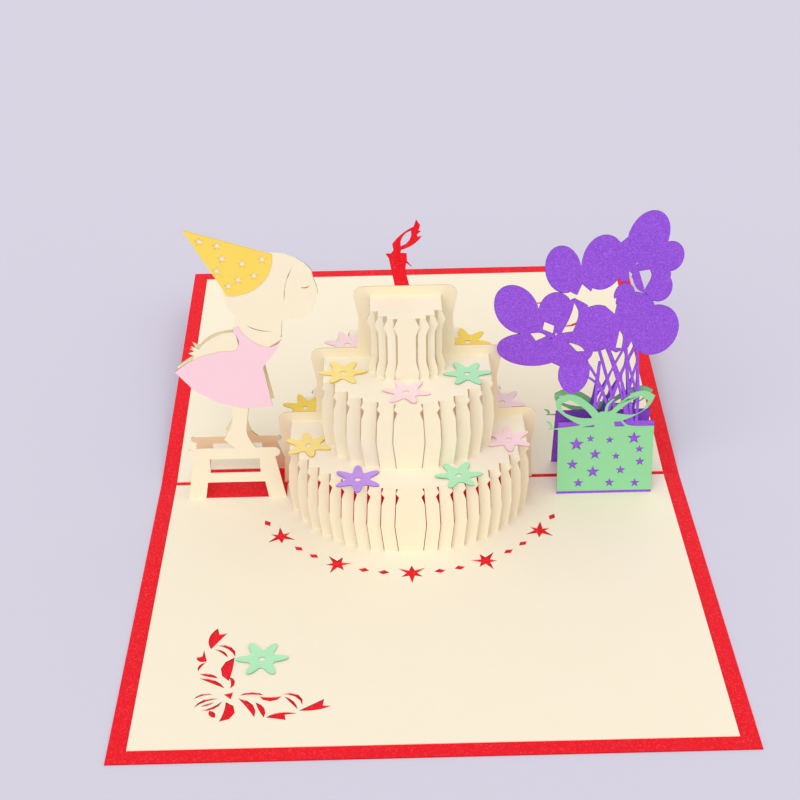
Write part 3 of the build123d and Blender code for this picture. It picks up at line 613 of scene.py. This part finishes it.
@dataclass
class PaperFlower:
    """A punched paper flower whose petals lift a little from the sheet under it.

    Lengths are in millimetres and angles in degrees.
    """

    node: str
    finish: PaperFinish
    slot: str
    turn: float
    on_back: bool = False
    petals: int = 6
    eye: float = 1.1
    thickness: float = 0.25
    lifts: tuple[float, ...] = (0.5, 0.15, 0.6, 0.25, 0.4, 0.1)
    tip: float = 8.7
    notch: float = 4.4
    taper: float = 1.5
    sides: int = 144
    rings: int = 5

    def _reach(self, angle: float) -> float:
        """Returns the outline's radius in millimetres at an angle in degrees."""
        wave = (1.0 + math.cos(math.radians(self.petals * angle))) / 2.0
        return self.notch + (self.tip - self.notch) * wave ** self.taper

    def _lift(self, angle: float) -> float:
        """Returns how far the outline is bent up in millimetres at an angle in degrees."""
        half = 180.0 / self.petals
        petal = int(((angle + half) % 360.0) // (2.0 * half))
        from_middle = (angle + half) % (2.0 * half) - half
        fold = max(math.cos(math.radians(from_middle * 90.0 / half)), 0.0)
        return self.lifts[(petal + int(self.turn)) % len(self.lifts)] * fold

    def _centre(self, bm: bmesh.types.BMesh) -> bmesh.types.BMVert:
        """Returns the middle vertex of a disc."""
        return min(bm.verts, key=lambda vert: vert.co.length)

    def _shape(self, bm: bmesh.types.BMesh) -> None:
        """Draws a disc, opens its eye and shapes it to petals."""
        bmesh.ops.create_circle(bm, cap_ends=True, cap_tris=True, radius=1.0, segments=self.sides)
        centre = self._centre(bm)
        spokes = [edge for edge in bm.edges if centre in edge.verts]
        bmesh.ops.subdivide_edges(bm, edges=spokes, cuts=self.rings)
        bmesh.ops.delete(bm, geom=[self._centre(bm)], context="VERTS")
        start = min(vert.co.length for vert in bm.verts)
        for vert in bm.verts:
            angle = math.degrees(math.atan2(vert.co.y, vert.co.x))
            share = (vert.co.length - start) / (1.0 - start)
            radius = self.eye + share * (self._reach(angle) - self.eye)
            turned = math.radians(angle + self.turn)
            lift = self._lift(angle) * share ** 2
            vert.co = Vector((radius * math.cos(turned), radius * math.sin(turned), lift)) * MM

    def build(self) -> bpy.types.Object:
        """Models the flower on its place.

        Returns:
            The flower's object.
        """
        bm = bmesh.new()
        self._shape(bm)
        bmesh.ops.recalc_face_normals(bm, faces=bm.faces)
        bmesh.ops.solidify(bm, geom=bm.faces[:], thickness=self.thickness * MM)
        bmesh.ops.recalc_face_normals(bm, faces=bm.faces)
        lowest = min(vert.co.z for vert in bm.verts)
        bmesh.ops.translate(bm, vec=(0.0, 0.0, -lowest), verts=bm.verts)
        low, high = (Vector(corner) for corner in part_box(self.node))
        tilt = Matrix.Rotation(BACK_RISE if self.on_back else 0.0, 4, "X")
        seat = (low + high) / 2 - tilt @ Vector((0.0, 0.0, self.thickness * MM / 2))
        bmesh.ops.transform(bm, matrix=Matrix.Translation(seat) @ tilt, verts=bm.verts)
        LOG.info("flower %s", self.node)
        return stand_in(bm, self.node)

    def dress(self, obj: bpy.types.Object, bench: FinishBench) -> None:
        """Gives the flower its paper."""
        bench.dress(obj, self.finish, SheetFacing.BACK_PAGE if self.on_back else SheetFacing.PAGE)


FLOWERS = (
    PaperFlower("flower_front_middle_left", PALE_YELLOW, "yellow_paper", 0.0),
    PaperFlower("flower_front_middle_centre", ROSE, "pink_paper", 50.0),
    PaperFlower("flower_front_middle_right", MINT, "green_paper", 0.0),
    PaperFlower("flower_front_lower_left", PALE_YELLOW, "yellow_paper", 40.0),
    PaperFlower("flower_front_lower_mid_left", LILAC, "purple_card", 30.0),
    PaperFlower("flower_front_lower_mid_right", MINT, "green_paper", 5.0),
    PaperFlower("flower_front_lower_right", ROSE, "pink_paper", 30.0),
    PaperFlower("flower_back_middle_left", ROSE, "pink_paper", 50.0, on_back=True),
    PaperFlower("flower_back_middle_right", YELLOW, "yellow_paper", 45.0, on_back=True),
    PaperFlower("flower_back_lower_left", YELLOW, "yellow_paper", 48.0, on_back=True),
    PaperFlower("flower_back_lower_right", ROSE, "pink_paper", 46.0, on_back=True),
    PaperFlower("flower_page", MINT, "green_paper", 0.0),
)


@dataclass(frozen=True)
class Lamp:
    """A far, wide lamp: where its light comes from, its strength, its spread in degrees and its tint."""

    name: str
    source: Place
    strength: float
    spread: float
    tint: Colour
    distance: float = 2.0

    def hang(self) -> None:
        """Adds the lamp to the scene."""
        data = bpy.data.lights.new(self.name, "SUN")
        data.energy = self.strength
        data.angle = math.radians(self.spread)
        data.color = self.tint
        obj = bpy.data.objects.new(self.name, data)
        obj.location = Vector(self.source) * self.distance
        obj.rotation_euler = (-Vector(self.source)).to_track_quat("-Z", "Y").to_euler()
        bpy.context.scene.collection.objects.link(obj)


@dataclass
class Studio:
    """Pale floor, soft light and the photograph's camera.

    Places are in metres, angles in degrees and the sensor in millimetres.
    """

    floor_half: float = 40.0
    floor_drop: float = 0.02 * MM
    floor_tone: Colour = (0.662, 0.654, 0.797)
    floor_roughness: float = 0.9
    floor_specular: float = 0.1
    backdrop_tone: Colour = (0.685, 0.665, 0.765)
    sky_tone: Colour = (0.985, 0.995, 1.03)
    sky: float = 0.485
    lamps: tuple[Lamp, ...] = (
        Lamp("front_light", (-0.25, -0.80, 0.85), 1.50, 55.0, WHITE),
        Lamp("right_glow", (0.85, -0.35, 0.35), 0.65, 80.0, WARM),
        Lamp("left_glow", (-0.85, -0.25, 0.35), 0.30, 80.0, WARM),
        Lamp("back_light", (0.30, 0.85, 0.45), 0.70, 80.0, (1.0, 0.94, 0.82)),
    )
    focal_px: float = 1534.9
    image_px: float = 800.0
    sensor: float = 36.0
    clip: Span = (0.01, 100.0)
    eye: Place = (-0.0104, -0.4919, 0.3340)
    azimuth: float = 0.37
    fall: float = 31.19
    roll: float = 1.13

    def floor(self) -> None:
        """Lays the floor."""
        bm = bmesh.new()
        bmesh.ops.create_grid(bm, x_segments=2, y_segments=2, size=self.floor_half)
        bmesh.ops.translate(bm, vec=(0.0, 0.0, -self.floor_drop), verts=bm.verts)
        obj = put_in_scene(bm, "floor")
        material = bpy.data.materials.new("lavender_floor")
        material.use_nodes = True
        shader = material.node_tree.nodes["Principled BSDF"]
        shader.inputs["Base Color"].default_value = (*self.floor_tone, 1.0)
        shader.inputs["Roughness"].default_value = self.floor_roughness
        shader.inputs["Specular IOR Level"].default_value = self.floor_specular
        obj.data.materials.append(material)

    def light(self) -> None:
        """Sets an even sky, a wide soft light from the front and faint warm ones from the sides and behind."""
        world = bpy.data.worlds.new("soft_sky")
        bpy.context.scene.world = world
        world.use_nodes = True
        sky = world.node_tree.nodes["Background"]
        sky.inputs["Color"].default_value = (*self.sky_tone, 1.0)
        sky.inputs["Strength"].default_value = self.sky
        self._backdrop(world.node_tree, sky)
        for lamp in self.lamps:
            lamp.hang()

    def _backdrop(self, tree: bpy.types.NodeTree, sky: bpy.types.Node) -> None:
        """Shows the floor's tone where a low view looks past the floor, without lighting the card by it.

        Args:
            tree: the world's node tree.
            sky: the node that lights the card.
        """
        bench = NodeBench(tree)
        rays = tree.nodes.new("ShaderNodeLightPath")
        seen = rays.outputs["Is Camera Ray"]
        for label in ("Is Glossy Ray", "Is Transmission Ray"):
            seen = bench.math("MAXIMUM", seen, rays.outputs[label])
        backdrop = tree.nodes.new("ShaderNodeBackground")
        bench.feed(backdrop.inputs["Color"], self.backdrop_tone)
        choice = tree.nodes.new("ShaderNodeMixShader")
        bench.feed(choice.inputs["Fac"], seen)
        bench.feed(choice.inputs[1], sky.outputs["Background"])
        bench.feed(choice.inputs[2], backdrop.outputs["Background"])
        bench.feed(tree.nodes["World Output"].inputs["Surface"], choice.outputs["Shader"])

    def camera(self) -> None:
        """Stands the camera where the photograph was taken from."""
        az, fall, roll = (math.radians(angle) for angle in (self.azimuth, self.fall, self.roll))
        ahead = Vector((math.sin(az) * math.cos(fall), math.cos(az) * math.cos(fall), -math.sin(fall)))
        level = Vector((math.cos(az), -math.sin(az), 0.0))
        below = ahead.cross(level)
        right = math.cos(roll) * level + math.sin(roll) * below
        down = math.cos(roll) * below - math.sin(roll) * level
        data = bpy.data.cameras.new("photo_camera")
        data.sensor_width = self.sensor
        data.lens = self.focal_px * self.sensor / self.image_px
        data.clip_start, data.clip_end = self.clip
        obj = bpy.data.objects.new("photo_camera", data)
        turn = Matrix((right, -down, -ahead)).transposed().to_4x4()
        obj.matrix_world = Matrix.Translation(Vector(self.eye)) @ turn
        bpy.context.scene.collection.objects.link(obj)
        bpy.context.scene.camera = obj


def main() -> None:
    """Builds the looks in order and reports each piece."""
    logging.basicConfig(level=logging.INFO, format="%(name)s: %(message)s")
    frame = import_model()
    bench = FinishBench()
    CardSheets(frame["nodes"]).dress(bench)
    for cut_out in CUT_OUTS:
        cut_out.dress(cut_out.build(frame["nodes"][cut_out.node]), bench)
    for flower in FLOWERS:
        flower.dress(flower.build(), bench)
    studio = Studio()
    studio.floor()
    studio.light()
    studio.camera()
    bpy.context.scene.view_settings.view_transform = "Standard"


if __name__ == "__main__":
    main()
